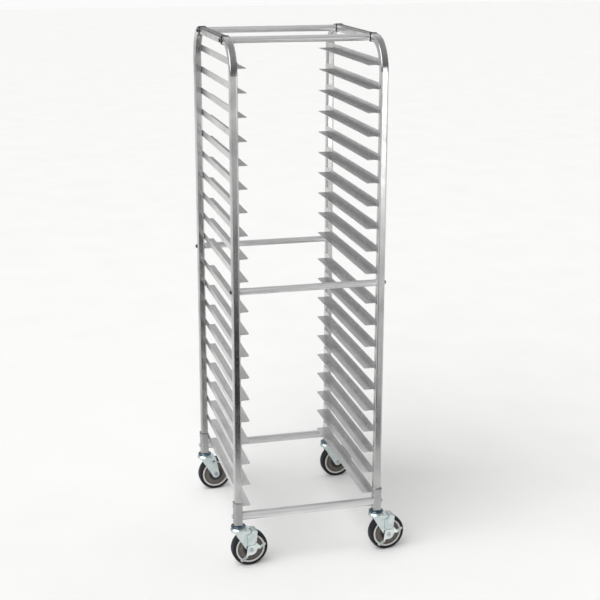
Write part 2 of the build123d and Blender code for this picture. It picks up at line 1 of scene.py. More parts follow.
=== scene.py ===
# %% [markdown]
# A sheet pan rack is a tall trolley for a bakery. Two side frames of polished square aluminium
# tube carry angle runners, and full-size pans slide onto the runners from either end. Round
# cross bars hold the frames apart, and four casters carry the rack, the front two with brakes.
# The exact solids come from the CAD model. This notebook gives them real finishes, and adds
# the small things that solids leave out, such as weld beads and the ribs on the pedals.

# %% Load the frame
import json
import math

import bpy
import bmesh
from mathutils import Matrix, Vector


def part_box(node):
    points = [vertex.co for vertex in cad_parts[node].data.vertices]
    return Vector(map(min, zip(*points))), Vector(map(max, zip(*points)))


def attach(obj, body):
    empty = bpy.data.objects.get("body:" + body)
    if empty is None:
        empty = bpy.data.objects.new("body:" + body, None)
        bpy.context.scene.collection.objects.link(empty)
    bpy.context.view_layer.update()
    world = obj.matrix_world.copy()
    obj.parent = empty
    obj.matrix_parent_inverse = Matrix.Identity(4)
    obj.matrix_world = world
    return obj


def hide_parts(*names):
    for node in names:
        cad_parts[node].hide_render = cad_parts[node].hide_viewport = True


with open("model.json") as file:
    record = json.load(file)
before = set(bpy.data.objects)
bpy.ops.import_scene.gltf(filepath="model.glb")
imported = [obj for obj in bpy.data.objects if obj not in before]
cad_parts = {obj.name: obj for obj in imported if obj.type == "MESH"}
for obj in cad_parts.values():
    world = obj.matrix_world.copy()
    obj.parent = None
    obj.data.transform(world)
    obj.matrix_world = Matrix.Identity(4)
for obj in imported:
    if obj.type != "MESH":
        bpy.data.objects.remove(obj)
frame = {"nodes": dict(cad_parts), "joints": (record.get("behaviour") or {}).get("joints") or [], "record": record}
nodes = frame["nodes"]
joints = {joint["name"]: joint for joint in frame["joints"]}
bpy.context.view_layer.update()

# %% [markdown]
# ## Camera
# A tall object looks natural through a long lens from a little above. The camera stands to
# the left of the front and looks down at the rack, so that both the row of runners on the
# right and the outside of the left frame can be seen. Its place is a point and two angles,
# which is easier to change by hand than a rotation matrix. A small shift of the lens puts the
# rack in the middle of the picture without turning the camera.

# %% Place the camera
CAMERA_PLACE = Vector((-1.069, -4.215, 2.116))
CAMERA_HEADING = math.radians(14.03)
CAMERA_DROP = math.radians(15.1)
SENSOR = 36.0
LENS = 76.9
LENS_SHIFT = (0.014, -0.05)

camera = bpy.data.objects.new("camera", bpy.data.cameras.new("camera"))
bpy.context.scene.collection.objects.link(camera)
camera.location = CAMERA_PLACE
camera.rotation_euler = (math.pi / 2 - CAMERA_DROP, 0, -CAMERA_HEADING)
camera.data.sensor_width = SENSOR
camera.data.lens = LENS
camera.data.shift_x, camera.data.shift_y = LENS_SHIFT
bpy.context.scene.camera = camera
print("camera", tuple(round(v, 2) for v in CAMERA_PLACE), "lens", LENS, "mm")

# %% [markdown]
# ## One helper for nodes, one for colours
# A material is a small graph. Writing each node as one line, with its settings and what is
# plugged into it, keeps the graph readable. Paint cards and screens give colours in sRGB, and
# the renderer works in linear light, so one function converts every colour.

# %% Helpers for materials
MM = 0.001

# The Mix node has a pair of sockets for each kind of value. These are the places of its colours.
MIX_A, MIX_B, MIX_RESULT = 6, 7, 2


def linear(hex_colour):
    """A colour such as "c8c9cb" in linear light, with alpha, by the sRGB curve."""
    channels = [int(hex_colour[i : i + 2], 16) / 255 for i in (0, 2, 4)]
    curve = [c / 12.92 if c <= 0.04045 else ((c + 0.055) / 1.055) ** 2.4 for c in channels]
    return (*curve, 1.0)


def add(tree, kind, links=None, stops=(), **settings):
    """One node. Settings name its properties or its sockets, links say what is plugged in,
    and stops are the (position, colour) pairs of a colour ramp, in rising order."""
    node = tree.nodes.new("ShaderNode" + kind)
    for name, value in settings.items():
        socket = node.inputs.get(name.replace("_", " "))
        if socket is None:
            setattr(node, name, value)
        else:
            socket.default_value = value
    for name, (source, output) in (links or {}).items():
        tree.links.new(source.outputs[output], node.inputs[name])
    for index, (position, colour) in enumerate(stops):
        stages = node.color_ramp.elements
        stage = stages[index] if index < len(stages) else stages.new(position)
        stage.position = position
        stage.color = linear(colour)
    return node


def new_material(name):
    """An empty material, its tree and its Principled shader already on the output."""
    material = bpy.data.materials.new(name)
    material.use_nodes = True
    tree = material.node_tree
    tree.nodes.clear()
    shader = add(tree, "BsdfPrincipled")
    add(tree, "OutputMaterial", {"Surface": (shader, "BSDF")})
    return material, tree, shader


def place_scaled(tree, scale):
    """Position in metres along the axes of the piece, multiplied by a scale for each axis."""
    place = add(tree, "TexCoord")
    return add(tree, "Mapping", {"Vector": (place, "Object")}, Scale=scale)


def plug(tree, shader, colour, roughness, normal):
    """Plugs a colour, a roughness and a bump into the shader of a finish."""
    for name, (source, output) in zip(
        ("Base Color", "Roughness", "Normal"), (colour, roughness, normal)
    ):
        tree.links.new(source.outputs[output], shader.inputs[name])


print("helpers ready, one millimetre is", MM, "scene units")

# %% [markdown]
# ## Metal with a direction
# Tube, sheet and bar are all pulled or rolled through a tool, which leaves fine lines along
# their length. The lines are a noise that is stretched along one axis: short across the
# grain, long along it. They tilt the surface a little and change how sharply it reflects.
# A second, large and soft noise is the handling: cloudy patches where hands and cloths have
# dulled the polish. A third gives short scuffs, where the metal is rougher. All sizes are
# real millimetres, except that the lines are drawn about four times as coarse as real ones,
# so that they can be seen.

# %% A drawn or rolled metal
GRAIN_LENGTH = 260 * MM
GRAIN_LEVELS = (0.3, 0.7)
GRAIN_SPREAD = (0.75, 1.3)
GRAIN_DEPTH = 0.1 * MM
CLOUD_SIZE = 90 * MM
CLOUD_LEVELS = (0.35, 0.7)
CLOUD_ROUGHENS = 0.16
SCUFF_WIDTH = 1.6 * MM
SCUFF_LENGTH = 24 * MM
SCUFF_LEVELS = (0.68, 0.76)
SCUFF_ROUGHENS = 0.15


def stretched_noise(tree, across, along, axis, **settings):
    """Noise whose spots are so wide across an axis and so long along it."""
    scale = [1 / across] * 3
    scale["XYZ".index(axis)] = 1 / along
    place = place_scaled(tree, scale)
    return add(tree, "TexNoise", {"Vector": (place, "Vector")}, Scale=1.0, **settings)


def grained_metal(name, colour, dull, roughness, grain_axis, grain_width, relief, clouds):
    """Metal with lines along one axis. colour and dull are its clean and its handled tone."""
    material, tree, shader = new_material(name)
    shader.inputs["Metallic"].default_value = 1.0
    lines = stretched_noise(
        tree, grain_width, GRAIN_LENGTH, grain_axis, Detail=3.0, Roughness=0.6
    )
    cloud = stretched_noise(tree, CLOUD_SIZE, CLOUD_SIZE, grain_axis, Detail=4.0)
    scuff = stretched_noise(tree, SCUFF_WIDTH, SCUFF_LENGTH, grain_axis, Detail=1.0)

    low, high = SCUFF_LEVELS
    scuffed = add(tree, "MapRange", {"Value": (scuff, "Fac")}, From_Min=low, From_Max=high)
    low, high = CLOUD_LEVELS
    handled = add(
        tree, "MapRange", {"Value": (cloud, "Fac")}, From_Min=low, From_Max=high, To_Max=clouds
    )
    tone = add(tree, "Mix", {"Factor": (handled, "Result")}, data_type="RGBA")
    tone.inputs[MIX_A].default_value = linear(colour)
    tone.inputs[MIX_B].default_value = linear(dull)

    low, high = GRAIN_LEVELS
    base = add(
        tree,
        "MapRange",
        {"Value": (lines, "Fac")},
        From_Min=low,
        From_Max=high,
        To_Min=roughness * GRAIN_SPREAD[0],
        To_Max=roughness * GRAIN_SPREAD[1],
    )
    links = {0: (handled, "Result"), 2: (base, "Result")}
    cloudy = add(tree, "Math", links, operation="MULTIPLY_ADD")
    cloudy.inputs[1].default_value = CLOUD_ROUGHENS
    links = {0: (scuffed, "Result"), 2: (cloudy, "Value")}
    rough = add(tree, "Math", links, operation="MULTIPLY_ADD")
    rough.inputs[1].default_value = SCUFF_ROUGHENS
    bump = add(
        tree, "Bump", {"Height": (lines, "Fac")}, Strength=relief, Distance=GRAIN_DEPTH
    )
    plug(tree, shader, (tone, MIX_RESULT), (rough, "Value"), (bump, "Normal"))
    return material


print("grain", GRAIN_LENGTH / MM, "mm long, clouds", CLOUD_SIZE / MM, "mm across")

# %% [markdown]
# ## Aluminium: tube, sheet and bar
# The side frames are extruded tube that has been polished after bending, so they mirror the
# room most sharply, both its dark and its bright parts. The runners are folded from
# mill-finish sheet, which shows faint rolling lines along its length and spreads light a
# little more. The cross bars are drawn tube, the palest and softest of the three, with their
# lines running from frame to frame.

# %% The aluminium finishes
finishes = {
    "extruded_aluminium_tube": grained_metal(
        "polished_aluminium_extrusion", "c3c3c3", "a3a3a3", 0.18, "Z", 1.2 * MM, 0.10, 0.8
    ),
    "top_rail_tube": grained_metal(
        "polished_aluminium_top_rail", "c3c3c3", "a3a3a3", 0.18, "Y", 1.2 * MM, 0.10, 0.8
    ),
    "aluminium_sheet": grained_metal(
        "mill_finish_aluminium_sheet", "cfcfcf", "b7b7b7", 0.24, "Y", 0.9 * MM, 0.16, 0.5
    ),
    "drawn_aluminium_bar": grained_metal(
        "drawn_aluminium_tube", "e2e2e2", "cacaca", 0.38, "X", 1.0 * MM, 0.12, 0.5
    ),
    "turned_aluminium": grained_metal(
        "turned_aluminium_plug", "bfc0c3", "9a9b9e", 0.35, "X", 0.8 * MM, 0.2, 0.6
    ),
    "aluminium_rivet": grained_metal(
        "aluminium_rivet_head", "b7b8ba", "8f9092", 0.36, "X", 0.8 * MM, 0.1, 0.6
    ),
    "aluminium_socket": grained_metal(
        "satin_formed_socket", "bdbcbd", "9a9899", 0.36, "Z", 1.4 * MM, 0.18, 0.6
    ),
}
print("aluminium finishes:", [finishes[slot].name for slot in finishes])

# %% [markdown]
# ## Zinc-plated steel
# Caster forks are pressed steel with a bright zinc plating. Zinc grows in small crystals, so
# the surface has a fine grain rather than lines, and the clear passivation over it gives a
# cold, slightly blue cast that drifts from place to place. Real crystals of plated zinc are
# too fine to see from here, so they are drawn about two millimetres wide.

# %% The plated steels
CRYSTAL_SIZE = 2.2 * MM
CRYSTAL_REACH = 1.2  # from the middle of a crystal to its corner, in crystals
CRYSTAL_SPREAD = (0.8, 1.35)
CRYSTAL_RELIEF = 0.10
CRYSTAL_DEPTH = 0.1 * MM
CAST_SIZE = 28 * MM
CAST_LEVELS = (0.35, 0.68)


def zinc_plate(name, clean, blue, roughness):
    """Bright zinc plate: blotches of blue-white over fine crystals."""
    material, tree, shader = new_material(name)
    shader.inputs["Metallic"].default_value = 1.0
    cast_place = place_scaled(tree, [1 / CAST_SIZE] * 3)
    cast = add(tree, "TexNoise", {"Vector": (cast_place, "Vector")}, Scale=1.0, Detail=5.0)
    crystal_place = place_scaled(tree, [1 / CRYSTAL_SIZE] * 3)
    crystals = add(tree, "TexVoronoi", {"Vector": (crystal_place, "Vector")}, Scale=1.0)
    tone = add(tree, "ValToRGB", {"Fac": (cast, "Fac")}, zip(CAST_LEVELS, (clean, blue)))
    rough = add(
        tree,
        "MapRange",
        {"Value": (crystals, "Distance")},
        From_Max=CRYSTAL_REACH,
        To_Min=roughness * CRYSTAL_SPREAD[0],
        To_Max=roughness * CRYSTAL_SPREAD[1],
    )
    bump = add(
        tree,
        "Bump",
        {"Height": (crystals, "Distance")},
        Strength=CRYSTAL_RELIEF,
        Distance=CRYSTAL_DEPTH,
    )
    plug(tree, shader, (tone, "Color"), (rough, "Result"), (bump, "Normal"))
    return material


finishes["zinc_plated_steel"] = zinc_plate("bright_zinc_pressing", "d9e1e0", "bccbcc", 0.28)
# The races get a darker copy of the zinc colours: painted shade for the dark their lower flanks mirror.
finishes["upper_race"] = zinc_plate("zinc_race_painted_dark", "7d8f9b", "3d4c58", 0.14)
finishes["zinc_plated_lever"] = zinc_plate("bright_zinc_lever", "e2e8e7", "c8d3d3", 0.28)
finishes["zinc_plated_bolt"] = zinc_plate("zinc_plated_bolt_head", "c0c5ca", "949ba4", 0.28)
finishes["zinc_washer"] = zinc_plate("zinc_plated_washer", "c3c6c9", "a2a8ae", 0.30)
finishes["sintered_steel"] = zinc_plate("sintered_steel_bush", "8d8c8b", "737270", 0.5)
finishes["bearing_steel"] = zinc_plate("ground_bearing_steel", "d5d5d6", "bcbdbf", 0.12)
print("plated finishes:", [name for name in finishes if "zinc" in name])

# %% [markdown]
# ## Plastics, rubber and blackened bolts
# Moulded plastic copies the spark-eroded skin of its mould: a fine even grain, and a soft
# gloss. The tread is a synthetic rubber with a bluish black colour, dusty where it rolls.
# Black oxide is a thin dark skin on steel that stays slightly shiny and goes brown-grey where
# a spanner has rubbed it. Real skins are about a tenth of a millimetre, and are drawn five to
# ten times as coarse so that they can be seen. Nylon and rubber mirror less than the rest.

# %% The moulded finishes
DUST_SIZE = 7 * MM
DUST_LEVELS = (0.42, 0.78)
DUST_RANGE = (0.3, 0.7)
DUST_SPREAD = (0.85, 1.2)
SKIN_DEPTH = 0.15 * MM
USUAL_GLOSS = 0.5


def moulded(name, colour, dusty, roughness, grain, relief, ior, gloss=USUAL_GLOSS):
    """Moulded plastic or rubber with a fine skin and dust that gathers in patches."""
    material, tree, shader = new_material(name)
    shader.inputs["IOR"].default_value = ior
    shader.inputs["Specular IOR Level"].default_value = gloss
    skin_place = place_scaled(tree, [1 / grain] * 3)
    skin = add(tree, "TexNoise", {"Vector": (skin_place, "Vector")}, Scale=1.0, Detail=2.0)
    dust_place = place_scaled(tree, [1 / DUST_SIZE] * 3)
    dust = add(tree, "TexNoise", {"Vector": (dust_place, "Vector")}, Scale=1.0, Detail=6.0)
    tone = add(tree, "ValToRGB", {"Fac": (dust, "Fac")}, zip(DUST_LEVELS, (colour, dusty)))
    rough = add(
        tree,
        "MapRange",
        {"Value": (dust, "Fac")},
        From_Min=DUST_RANGE[0],
        From_Max=DUST_RANGE[1],
        To_Min=roughness * DUST_SPREAD[0],
        To_Max=roughness * DUST_SPREAD[1],
    )
    bump = add(tree, "Bump", {"Height": (skin, "Fac")}, Strength=relief, Distance=SKIN_DEPTH)
    plug(tree, shader, (tone, "Color"), (rough, "Result"), (bump, "Normal"))
    return material


finishes["black_nylon"] = moulded(
    "moulded_black_nylon", "0b0c0d", "141516", 0.50, 0.7 * MM, 0.25, 1.53, gloss=0.25
)
finishes["black_oxide_steel"] = moulded(
    "black_oxide_bolt", "131315", "2c2a29", 0.30, 0.9 * MM, 0.12, 1.6
)
finishes["black_polypropylene"] = moulded(
    "moulded_black_polypropylene", "1b1c1f", "303134", 0.38, 0.8 * MM, 0.22, 1.49
)
finishes["grey_polypropylene"] = moulded(
    "moulded_taupe_polypropylene", "605b54", "746d65", 0.45, 0.8 * MM, 0.22, 1.49
)
finishes["rim_grey"] = moulded(
    "moulded_light_grey_rim", "c3c3c2", "d2d1cf", 0.40, 0.8 * MM, 0.22, 1.49
)
finishes["black_rubber"] = moulded(
    "moulded_black_rubber", "0c0d12", "1b1d23", 0.52, 1.1 * MM, 0.35, 1.52, gloss=0.3
)
print(len(finishes), "finishes in all")

# %% [markdown]
# ## Giving each piece its finish
# Every CAD piece carries the name of its material slot. The top rails are the same tube as
# the uprights, but they lie along the rack, so their grain has to run the other way. The upper
# races are turned rather than pressed, so they mirror sharply, and their tone is painted darker
# than that of the forks, as painted shade for the dark that their lower flanks mirror.

# %% Put the finishes on the pieces
slots = {part["node"]: part["material_slot"] for part in frame["record"]["subparts"]}
for name, piece in nodes.items():
    finish = "top_rail_tube" if name.startswith("top_rail") else slots[name]
    finish = "upper_race" if name == "swivel_races" else finish
    piece.data.materials.clear()
    piece.data.materials.append(finishes[finish])
print("finished", len(nodes), "pieces")

# %% [markdown]
# ## Floor
# The rack stands on a plain pale floor, such as painted board or paper in a studio. A faint
# mottle keeps it from looking like a flat fill. It is one large square, staged so that it is
# part of the picture and not part of the rack. A helper makes every mesh of the scene, so that
# each one gets its finish and the body it rides on in one place.

# %% Floor
FLOOR_HALF = 30.0
FLOOR_MOTTLES_PER_METRE = 3.0


def mesh_piece(name, verts, faces, finish=None, body=None, smooth=False):
    """A mesh object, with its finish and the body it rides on."""
    mesh = bpy.data.meshes.new(name)
    mesh.from_pydata(verts, [], faces)
    mesh.validate()
    for face in mesh.polygons:
        face.use_smooth = smooth
    piece = bpy.data.objects.new(name, mesh)
    bpy.context.scene.collection.objects.link(piece)
    if finish:
        mesh.materials.append(finish)
    if body:
        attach(piece, body)
    return piece


floor_material, floor_tree, floor_shader = new_material("pale_studio_floor")
floor_place = place_scaled(floor_tree, [FLOOR_MOTTLES_PER_METRE] * 3)
mottle = add(floor_tree, "TexNoise", {"Vector": (floor_place, "Vector")}, Scale=1.0, Detail=5.0)
pale = add(floor_tree, "ValToRGB", {"Fac": (mottle, "Fac")}, ((0.0, "f1f1f0"), (1.0, "f8f8f7")))
floor_tree.links.new(pale.outputs["Color"], floor_shader.inputs["Base Color"])
floor_shader.inputs["Roughness"].default_value = 0.6
floor_shader.inputs["Specular IOR Level"].default_value = 0.2
turns = ((-1, -1), (1, -1), (1, 1), (-1, 1))
floor_corners = [(x * FLOOR_HALF, y * FLOOR_HALF, 0) for x, y in turns]
floor = mesh_piece("floor", floor_corners, [(0, 1, 2, 3)], floor_material)
print("floor", 2 * FLOOR_HALF, "m square")

# %% [markdown]
# ## Sun and card
# One very wide sun at the front left stands for a large soft box, and gives the pale floor its
# soft shadow to the right. A tall bright card at the front right is there only to be mirrored
# by the right-hand tubes. The camera does not see it, and it is kept out of diffuse light,
# because it would leave a bright pool on the floor.

# %% Sun and card
SUN_ANGLE = math.radians(70)
SUN_STRENGTH = 2.6
SUN_FROM = Vector((-3.0, -2.3, 3.4))
CARD_PLACE = Vector((1.55, -4.1, 1.35))
CARD_AIM = Vector((0, 0, 0.9))
CARD_SIZE = (0.95, 1.7)
CARD_POWER = 12.0


def hang(light, place, aim):
    """Puts a light in the scene at a place, pointing at an aim."""
    lamp = bpy.data.objects.new(light.name, light)
    bpy.context.scene.collection.objects.link(lamp)
    lamp.location = place
    lamp.rotation_euler = (aim - place).to_track_quat("-Z", "Y").to_euler()
    return lamp


sun = bpy.data.lights.new("soft_sun", "SUN")
sun.energy = SUN_STRENGTH
sun.angle = SUN_ANGLE
hang(sun, SUN_FROM, Vector((0, 0, 0)))
card = bpy.data.lights.new("front_card", "AREA")
card.shape = "RECTANGLE"
card.size, card.size_y = CARD_SIZE
card.energy = CARD_POWER
card_lamp = hang(card, CARD_PLACE, CARD_AIM)
card_lamp.visible_camera = False
card_lamp.visible_diffuse = False

# %% [markdown]
# ## Black flag
# In a studio, black cloth, called a flag, is laid just out of view so that shiny metal has
# something dark to mirror, which draws its edges. This one lies before the left half. It is a trapezoid
# that widens away from the rack, because a tube mirrors a wider strip of floor the further
# off it looks. Only mirrors see it: it has no shadow and adds no diffuse light.

# %% Black flag
FLAG_CORNERS = ((-0.9, -7.0), (1.0, -7.0), (0.62, -1.15), (-0.9, -1.15))
FLAG_Z = 0.02

flag_material, flag_tree, flag_shader = new_material("black_flag_cloth")
flag_shader.inputs["Base Color"].default_value = linear("1d1d1e")
flag_shader.inputs["Roughness"].default_value = 0.9
flag_shader.inputs["Specular IOR Level"].default_value = 0.1
flag_points = [(x, y, FLAG_Z) for x, y in FLAG_CORNERS]
flag = mesh_piece("black_flag", flag_points, [(0, 1, 2, 3)], flag_material)
flag.visible_camera = False
flag.visible_diffuse = False
flag.visible_shadow = False
print("flag", FLAG_CORNERS[1][0] - FLAG_CORNERS[0][0], "m wide at its far end")

# %% [markdown]
# ## Sky
# Polished metal shows its surroundings, so the sky is drawn as bands: dark at the horizon,
# brightest about 25 degrees up, and softer overhead. A second ramp darkens the side behind the
# camera. The wall that the camera itself sees is as pale as the floor, so one switch on the
# kind of ray keeps the bands for light and reflections and shows a plain wall to the camera.

# %% Sky
SKY_BANDS = (
    (0.00, "5c5c5c"),
    (0.10, "6e6e6e"),
    (0.22, "a4a4a4"),
    (0.42, "efefef"),
    (0.72, "e3e3e3"),
    (1.00, "a8a8a8"),
)
ROOM_BANDS = ((0.0, "878787"), (0.20, "a8a8a8"), (0.42, "ffffff"), (1.0, "ffffff"))
WALL_COLOUR = "fbfbfb"

world = bpy.data.worlds.new("soft_studio")
bpy.context.scene.world = world
world.use_nodes = True
sky = world.node_tree
sky.nodes.clear()
direction = add(sky, "TexCoord")
axes = add(sky, "SeparateXYZ", {"Vector": (direction, "Generated")})
height = add(sky, "ValToRGB", {"Fac": (axes, "Z")}, SKY_BANDS)
depth = add(sky, "MapRange", {"Value": (axes, "Y")}, From_Min=-1.0, From_Max=1.0)
room = add(sky, "ValToRGB", {"Fac": (depth, "Result")}, ROOM_BANDS)
shaded = add(sky, "Mix", data_type="RGBA", blend_type="MULTIPLY", Factor=1.0)
sky.links.new(height.outputs["Color"], shaded.inputs[MIX_A])
sky.links.new(room.outputs["Color"], shaded.inputs[MIX_B])
ray = add(sky, "LightPath")
wall = add(sky, "Mix", {"Factor": (ray, "Is Camera Ray")}, data_type="RGBA")
sky.links.new(shaded.outputs[MIX_RESULT], wall.inputs[MIX_A])
wall.inputs[MIX_B].default_value = linear(WALL_COLOUR)
background = add(sky, "Background", {"Color": (wall, MIX_RESULT)}, Strength=1.0)
add(sky, "OutputWorld", {"Surface": (background, "Background")})
bpy.context.scene.view_settings.view_transform = "Standard"
print("sky bands:", len(SKY_BANDS), "and room bands:", len(ROOM_BANDS))

# %% [markdown]
# ## Weld beads
# Aluminium pieces are joined by welding, and a weld is a row of small overlapping puddles. It
# is made here as a tube swept along a path of points, a little fatter at each puddle, with
# tapered and closed ends. Real geometry is used, because a bead stands proud of the corner
# and catches a line of light that a bump in a material would not.

# %% A bead along a path
RIPPLE = 2.4 * MM
RIPPLE_LOW = 0.86
END_SIZE = 0.35
END_TAPER = 2.2
BEAD_SIDES = 8


def bead_mesh(verts, faces, path, radius, step):
    """Adds one rippled bead that follows a path of points to lists of corners and faces."""
    points = [Vector(p) for p in path]
    lengths = [0.0]
    for a, b in zip(points, points[1:]):
        lengths.append(lengths[-1] + (b - a).length)
    count = max(2, round(lengths[-1] / step))
    first = len(verts)
    leg = 0
    for index in range(count + 1):
        at = lengths[-1] * index / count
        while leg < len(points) - 2 and at > lengths[leg + 1]:
            leg += 1
        a, b = points[leg], points[leg + 1]
        share = (at - lengths[leg]) / (b - a).length
        ahead = (b - a).normalized()
        side = ahead.orthogonal().normalized()
        up = ahead.cross(side)
        ripple = RIPPLE_LOW + (1 - RIPPLE_LOW) * abs(math.sin(math.pi * at / RIPPLE))
        taper = min(1.0, END_SIZE + END_TAPER * min(index, count - index) / count)
        for corner in range(BEAD_SIDES):
            angle = 2 * math.pi * corner / BEAD_SIDES
            offset = math.cos(angle) * side + math.sin(angle) * up
            verts.append(a.lerp(b, share) + offset * radius * ripple * taper)
    for ring in range(count):
        for corner in range(BEAD_SIDES):
            low = first + ring * BEAD_SIDES + corner
            across = first + ring * BEAD_SIDES + (corner + 1) % BEAD_SIDES
            faces.append((low, across, across + BEAD_SIDES, low + BEAD_SIDES))
    faces.append([first + c for c in reversed(range(BEAD_SIDES))])
    faces.append([first + count * BEAD_SIDES + c for c in range(BEAD_SIDES)])


weld_metal = grained_metal(
    "aluminium_weld_bead", "b9babb", "77787a", 0.34, "Z", 1.5 * MM, 0.3, 1.0
)
print("bead ripple", RIPPLE / MM, "mm")

# %% [markdown]
# ## Beads round the tops of the sockets
# Each caster socket is welded to the foot of its upright along the front, the outer face and
# the back. The bead follows the rounded corners of the tube, so its path is two straight runs
# with a quarter turn at each outer corner, worked out from the box of the socket.

# %% Beads round the tops of the sockets
SOCKET_BEAD = 3.0 * MM
BEAD_INSET = 1.4 * MM
BEAD_SHORT = 3 * MM
CORNER_ROUND = 6 * MM
CORNER_STEPS = 5


def socket_path(low, high, inward):
    """Points along the front, the outer face and the back of the top edge of a socket."""
    outer, inner = (low.x, high.x) if inward > 0 else (high.x, low.x)
    front, back = low.y + BEAD_INSET, high.y - BEAD_INSET
    outside = outer + inward * BEAD_INSET
    start = inner - inward * BEAD_SHORT
    path = [(start, front, high.z)]
    for y, end in ((front, 1), (back, -1)):
        centre = (outside + inward * CORNER_ROUND, y + end * CORNER_ROUND)
        for turn in range(CORNER_STEPS + 1):
            angle = math.pi / 2 * turn / CORNER_STEPS
            swing = [math.sin(angle), math.cos(angle)][::end]
            x = centre[0] - inward * CORNER_ROUND * swing[0]
            path.append((x, centre[1] - end * CORNER_ROUND * swing[1], high.z))
    return path + [(start, back, high.z)]


sockets = [name for name in nodes if name.startswith("caster_socket")]
for name in sockets:
    verts, faces = [], []
    path = socket_path(*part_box(name), 1 if "left" in name else -1)
    bead_mesh(verts, faces, path, SOCKET_BEAD, RIPPLE / 3)
    weld_name = name.replace("caster_socket", "socket_weld")
    mesh_piece(weld_name, verts, faces, weld_metal, "frame", smooth=True)
print("socket welds:", len(sockets))

# %% [markdown]
# ## Beads at the ends of the runners
# Each end of each runner has a short upright bead where its flange meets the tube. The
# heights come from the boxes of the two groups of runners on a side and from the pitch between
# levels. The twenty levels of a side share one mesh, because they share one finish and body.

# %% Beads at the ends of the runners
RUNNER_BEAD = 1.3 * MM
RUNNER_BEAD_SINK = 0.4
RUNNER_COUNT = 20
FLANGE_HEIGHT = 22 * MM
WELD_FROM_FOOT = 1.5 * MM
WELD_FROM_TOP = 3 * MM

per_group = RUNNER_COUNT // 2
for side, inward in (("left", 1), ("right", -1)):
    verts, faces = [], []
    for group in ("lower", "upper"):
        low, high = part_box(group + "_runners_" + side)
        pitch = (high.z - low.z - FLANGE_HEIGHT) / (per_group - 1)
        x = (low.x if inward > 0 else high.x) + inward * RUNNER_BEAD * RUNNER_BEAD_SINK
        for level in range(per_group):
            z = low.z + level * pitch
            for y in (low.y, high.y):
                span = ((x, y, z + WELD_FROM_FOOT), (x, y, z + FLANGE_HEIGHT - WELD_FROM_TOP))
                bead_mesh(verts, faces, span, RUNNER_BEAD, RIPPLE / 2)
    weld_name = "runner_welds_" + side
    mesh_piece(weld_name, verts, faces, weld_metal, "frame", smooth=True)
print("runner welds:", RUNNER_COUNT * 2, "on each side")

# %% [markdown]
# ## Turned and moulded round parts
# Tyres and wheel centres are round, so each is one outline turned about its axle. A lathe
# works the same way, and one outline keeps every groove true all round. The mesh is closed,
# so its faces can be turned outwards by Blender, and an angle decides which edges stay crisp.

# %% Turn an outline about an axis
TURN_STEPS = 96


def turned(outline, centre, axis):
    """Turns a closed outline of (distance along, radius) points about an axis."""
    verts, faces = [], []
    axis = Vector(axis).normalized()
    side = axis.cross(Vector((0, 0, 1)) if abs(axis.z) < 0.9 else Vector((1, 0, 0)))
    side.normalize()
    up = axis.cross(side)
    for along, radius in outline:
        for step in range(TURN_STEPS):
            angle = 2 * math.pi * step / TURN_STEPS
            offset = math.cos(angle) * side + math.sin(angle) * up
            verts.append(Vector(centre) + axis * along + offset * radius)
    rings = len(outline)
    for ring in range(rings):
        for step in range(TURN_STEPS):
            here = ring * TURN_STEPS
            there = (ring + 1) % rings * TURN_STEPS
            after = (step + 1) % TURN_STEPS
            faces.append((here + step, here + after, there + after, there + step))
    return verts, faces


def outward(piece):
    """Turns the faces of a closed mesh so that they all look outwards."""
    work = bmesh.new()
    work.from_mesh(piece.data)
    bmesh.ops.recalc_face_normals(work, faces=work.faces)
    work.to_mesh(piece.data)
    work.free()
    return piece


def smooth_by_angle(piece, degrees):
    """Soft shading, with a crisp edge wherever faces meet at more than an angle."""
    limit = math.radians(degrees)
    work = bmesh.new()
    work.from_mesh(piece.data)
    for edge in work.edges:
        edge.smooth = len(edge.link_faces) == 2 and edge.calc_face_angle() < limit
    for face in work.faces:
        face.smooth = True
    work.to_mesh(piece.data)
    work.free()
    return piece


print("outlines are turned in", TURN_STEPS, "steps")

# %% [markdown]
# ## The outline of the tread
# The tread ring is moulded rubber. Its outline carries what the mould leaves: a parting line
# round the middle of the tread, a shallow groove beside each shoulder, round shoulders, and a
# small step where the rubber meets the rim. Half of it is written, and the rest is mirrored.

# %% The outline of the tread
TREAD_RADIUS = 62.5 * MM
TYRE_HALF = 16.0 * MM
TYRE_INNER = 51.0 * MM
SHOULDER = 5.0 * MM
SHOULDER_STEPS = 7
PARTING_LINE = 0.35 * MM
PARTING_HALF = 0.7 * MM
GROOVE_NEAR, GROOVE_MIDDLE, GROOVE_FAR = 1.6 * MM, 1.0 * MM, 0.4 * MM
GROOVE_DEPTH = 1.2 * MM
GROOVE_LIP = 1.4
SIDE_DRAFT, SIDE_STEP = 0.1 * MM, 0.9 * MM
STEP_TOP, STEP_FOOT = 2.2 * MM, 1.4 * MM


def tyre_outline():
    """Cross-section of the tread ring: flat tread, round shoulders, a step beside the rim."""
    shoulder_from = TYRE_HALF - SHOULDER
    half = [(0.0, TREAD_RADIUS), (PARTING_HALF, TREAD_RADIUS - PARTING_LINE)]
    half.append((shoulder_from - GROOVE_NEAR, TREAD_RADIUS - PARTING_LINE))
    half.append((shoulder_from - GROOVE_MIDDLE, TREAD_RADIUS - GROOVE_DEPTH))
    half.append((shoulder_from - GROOVE_FAR, TREAD_RADIUS - PARTING_LINE * GROOVE_LIP))
    for step in range(1, SHOULDER_STEPS + 1):
        angle = math.pi / 2 * step / SHOULDER_STEPS
        along = TYRE_HALF - SHOULDER * (1 - math.sin(angle))
        drop = PARTING_LINE + SHOULDER * (1 - math.cos(angle))
        half.append((along, TREAD_RADIUS - drop))
    half.append((TYRE_HALF - SIDE_DRAFT, TYRE_INNER + STEP_TOP))
    half.append((TYRE_HALF - SIDE_STEP, TYRE_INNER + STEP_FOOT))
    half.append((TYRE_HALF - SIDE_STEP, TYRE_INNER))
    return half + [(-along, radius) for along, radius in reversed(half[1:])]


print("tread outline:", len(tyre_outline()), "points")

